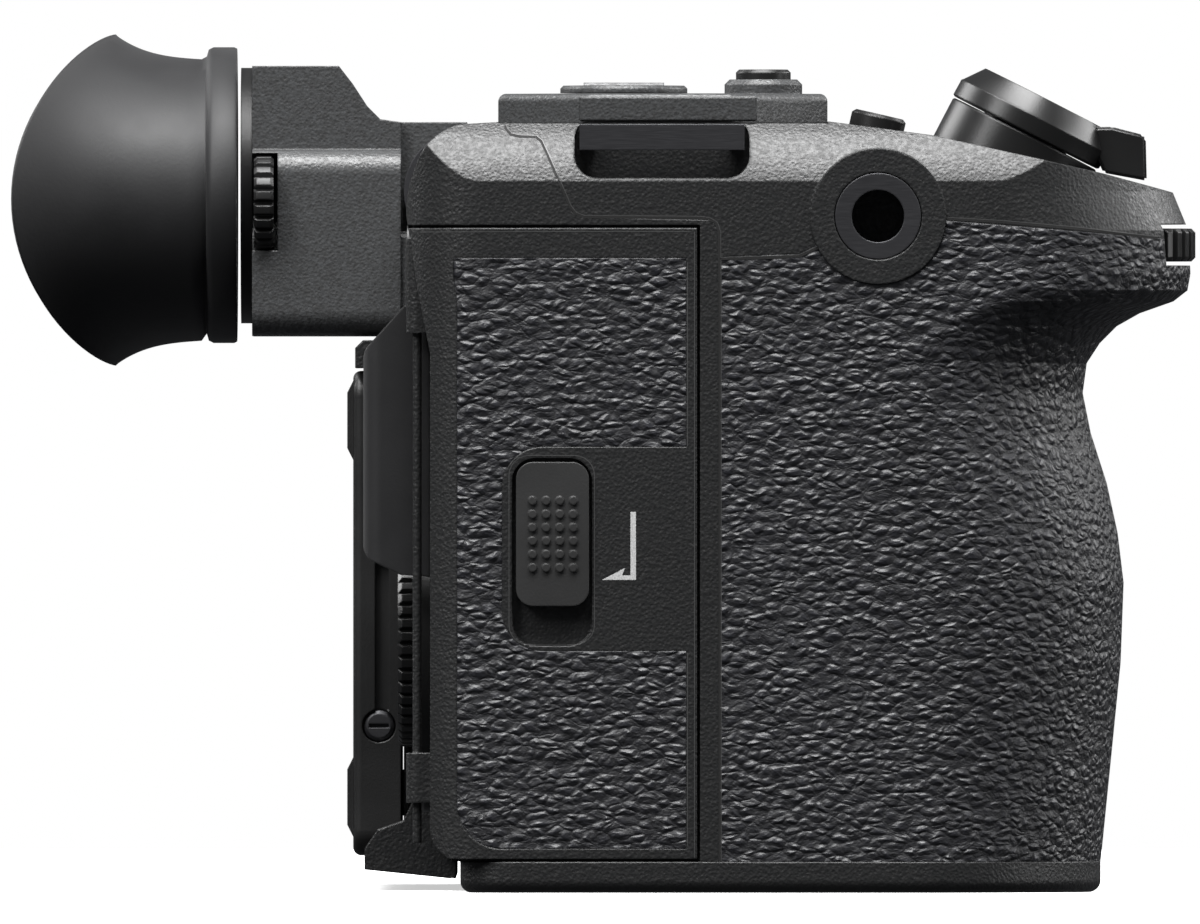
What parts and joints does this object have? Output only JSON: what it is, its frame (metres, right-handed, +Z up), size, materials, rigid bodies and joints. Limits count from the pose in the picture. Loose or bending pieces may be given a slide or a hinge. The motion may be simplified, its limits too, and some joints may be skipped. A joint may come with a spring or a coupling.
{
  "type": "cinema camera",
  "caption": "Compact cinema camera body with hand grip, tilting viewfinder, round eyecup, swing-out monitor and side card door.",
  "frame": {"origin": "mouth of the tripod socket on the base plane, under the lens axis and in the sensor plane", "axes": "+Z up, the lens looks along -Y, the hand grip is on -X"},
  "size_m": [0.1305, 0.1195, 0.0867],
  "materials": {
    "battery_shell": "matte plastic",
    "board": "circuit board",
    "body_paint": "crinkled satin black paint",
    "card_shell": "matte plastic",
    "dark_steel": "blackened steel",
    "deck_paint": "satin speckled paint",
    "glass": "coated glass",
    "gloss": "smooth black plastic",
    "gold": "gold plated contact",
    "latch_plastic": "dark grey plastic",
    "leatherette": "pebbled black leatherette",
    "plastic": "fine textured black plastic",
    "rubber": "matte black rubber",
    "screen": "dark display glass",
    "sensor": "image sensor surface",
    "steel": "turned steel"
  },
  "bodies": {
    "body": {"front_casing": "body_paint", "grip_frame": "plastic", "grip_leather": "leatherette", "base_plate": "body_paint", "battery": "battery_shell", "card_slots": "plastic", "memory_cards": "card_shell", "top_deck": "deck_paint", "top_cover": "body_paint", "strap_bars": "dark_steel", "socket_inserts": "dark_steel", "accessory_shoe": "dark_steel", "lens_mount_ring": "steel", "mount_screws": "steel", "contact_block": "plastic", "contact_pins": "gold", "shutter_frame": "plastic", "sensor_carrier": "plastic", "image_sensor": "sensor", "sensor_glass": "glass", "main_board": "board", "viewfinder_bracket": "dark_steel", "monitor_hinge_block": "dark_steel", "thumb_rest": "rubber", "control_wheel_ring": "plastic", "rear_cover": "body_paint", "port_block": "plastic"},
    "battery_lid": {"battery_lid": "body_paint"},
    "battery_lid_latch": {"battery_lid_latch": "plastic"},
    "card_door": {"card_door": "body_paint", "card_door_leather": "leatherette"},
    "card_door_latch": {"card_door_latch": "latch_plastic"},
    "mode_knob": {"mode_knob": "deck_paint"},
    "record_button": {"record_button": "gloss"},
    "top_button_1": {"top_button_1": "gloss"},
    "top_button_2": {"top_button_2": "gloss"},
    "zoom_lever": {"zoom_lever": "gloss"},
    "shutter_button": {"shutter_button": "gloss"},
    "front_dial": {"front_dial": "gloss"},
    "lens_release_button": {"lens_release_button": "gloss"},
    "lens_lock_pin": {"lens_lock_pin": "steel"},
    "cooling_fan": {"cooling_fan": "plastic"},
    "viewfinder": {"viewfinder_housing": "deck_paint", "eyepiece_frame": "plastic", "eyepiece_lens": "glass", "viewfinder_display": "screen", "eyecup": "rubber"},
    "diopter_wheel": {"diopter_wheel": "gloss"},
    "monitor": {"monitor_shell": "plastic", "monitor_glass": "screen", "monitor_screw": "dark_steel"},
    "control_wheel": {"control_wheel": "gloss"},
    "control_wheel_button": {"control_wheel_button": "gloss"},
    "menu_button": {"menu_button": "gloss"},
    "function_button": {"function_button": "gloss"},
    "play_button": {"play_button": "gloss"},
    "joystick": {"joystick": "plastic"},
    "audio_door": {"audio_door": "plastic"},
    "video_door": {"video_door": "plastic"},
    "data_door": {"data_door": "plastic"}
  },
  "joints": [
    {"name": "battery_lid_hinge", "type": "hinge", "parent": "body", "child": "battery_lid", "pos_m": [-0.0607, 0.0164, 0.0013], "axis": [1, 0, 0], "range_deg": [0, 95]},
    {"name": "battery_lid_latch_slide", "type": "slide", "parent": "battery_lid", "child": "battery_lid_latch", "axis": [0, 1, 0], "range_m": [0, 0.002]},
    {"name": "card_door_hinge", "type": "hinge", "parent": "body", "child": "card_door", "pos_m": [-0.0706, 0.0346, 0.035], "axis": [0, 0, -1], "range_deg": [0, 95]},
    {"name": "card_door_latch_slide", "type": "slide", "parent": "card_door", "child": "card_door_latch", "axis": [0, 0, -1], "range_m": [0, 0.0036], "stiffness_N_per_m": 200, "springref_m": -0.001},
    {"name": "mode_knob_turn", "type": "hinge", "parent": "body", "child": "mode_knob", "pos_m": [-0.033, 0.0139, 0.08], "axis": [0, 0, 1], "range_deg": [-60, 60]},
    {"name": "record_button_press", "type": "slide", "parent": "body", "child": "record_button", "axis": [0, 0, -1], "range_m": [0, 0.0008], "stiffness_N_per_m": 300, "springref_m": -0.001},
    {"name": "top_button_1_press", "type": "slide", "parent": "body", "child": "top_button_1", "axis": [0, 0.225, -0.9744], "range_m": [0, 0.0005], "stiffness_N_per_m": 300, "springref_m": -0.001},
    {"name": "top_button_2_press", "type": "slide", "parent": "body", "child": "top_button_2", "axis": [0, 0.225, -0.9744], "range_m": [0, 0.0005], "stiffness_N_per_m": 300, "springref_m": -0.001},
    {"name": "zoom_lever_turn", "type": "hinge", "parent": "body", "child": "zoom_lever", "pos_m": [-0.0605, -0.0259, 0.0752], "axis": [0, -0.454, 0.891], "range_deg": [-20, 20], "stiffness_Nm_per_rad": 0.02},
    {"name": "shutter_button_press", "type": "slide", "parent": "body", "child": "shutter_button", "axis": [0, 0.454, -0.891], "range_m": [0, 0.001], "stiffness_N_per_m": 300, "springref_m": -0.001},
    {"name": "front_dial_turn", "type": "hinge", "parent": "body", "child": "front_dial", "pos_m": [-0.0605, -0.0364, 0.0648], "axis": [0, 0, 1], "continuous": true},
    {"name": "lens_release_button_press", "type": "slide", "parent": "body", "child": "lens_release_button", "axis": [0, 1, 0], "range_m": [0, 0.0015], "stiffness_N_per_m": 300, "springref_m": -0.001},
    {"name": "lens_lock_pin_slide", "type": "slide", "parent": "body", "child": "lens_lock_pin", "axis": [0, 1, 0], "range_m": [0, 0.0015]},
    {"name": "cooling_fan_turn", "type": "hinge", "parent": "body", "child": "cooling_fan", "pos_m": [0.026, 0.016, 0.03], "axis": [0, 1, 0], "continuous": true},
    {"name": "viewfinder_tilt", "type": "hinge", "parent": "body", "child": "viewfinder", "pos_m": [0.028, 0.0298, 0.0705], "axis": [1, 0, 0], "range_deg": [0, 90]},
    {"name": "diopter_wheel_turn", "type": "hinge", "parent": "viewfinder", "child": "diopter_wheel", "pos_m": [0.0114, 0.0504, 0.0694], "axis": [0, 1, 0], "range_deg": [-120, 120]},
    {"name": "monitor_swing", "type": "hinge", "parent": "body", "child": "monitor", "pos_m": [0.0506, 0.0386, 0.029], "axis": [0, 0, -1], "range_deg": [0, 176]},
    {"name": "control_wheel_turn", "type": "hinge", "parent": "body", "child": "control_wheel", "pos_m": [-0.045, 0.0333, 0.0249], "axis": [0, 1, 0], "continuous": true},
    {"name": "control_wheel_button_press", "type": "slide", "parent": "body", "child": "control_wheel_button", "axis": [0, -1, 0], "range_m": [0, 0.0004], "stiffness_N_per_m": 300, "springref_m": -0.001},
    {"name": "menu_button_press", "type": "slide", "parent": "body", "child": "menu_button", "axis": [0, -1, 0], "range_m": [0, 0.0004], "stiffness_N_per_m": 300, "springref_m": -0.001},
    {"name": "function_button_press", "type": "slide", "parent": "body", "child": "function_button", "axis": [0, -1, 0], "range_m": [0, 0.0004], "stiffness_N_per_m": 300, "springref_m": -0.001},
    {"name": "play_button_press", "type": "slide", "parent": "body", "child": "play_button", "axis": [0, -1, 0], "range_m": [0, 0.0004], "stiffness_N_per_m": 300, "springref_m": -0.001},
    {"name": "joystick_tilt", "type": "hinge", "parent": "body", "child": "joystick", "pos_m": [-0.0315, 0.0313, 0.044], "axis": [1, 0, 0], "range_deg": [-8, 8], "stiffness_Nm_per_rad": 0.02},
    {"name": "audio_door_hinge", "type": "hinge", "parent": "body", "child": "audio_door", "pos_m": [0.0528, 0.0059, 0.053], "axis": [0, 0, -1], "range_deg": [0, 95]},
    {"name": "video_door_hinge", "type": "hinge", "parent": "body", "child": "video_door", "pos_m": [0.0528, 0.0059, 0.0357], "axis": [0, 0, -1], "range_deg": [0, 95]},
    {"name": "data_door_hinge", "type": "hinge", "parent": "body", "child": "data_door", "pos_m": [0.0528, 0.0059, 0.0187], "axis": [0, 0, -1], "range_deg": [0, 95]}
  ],
  "couplings": [
    {"joint": "lens_lock_pin_slide", "follows": "lens_release_button_press", "ratio": 1}
  ]
}
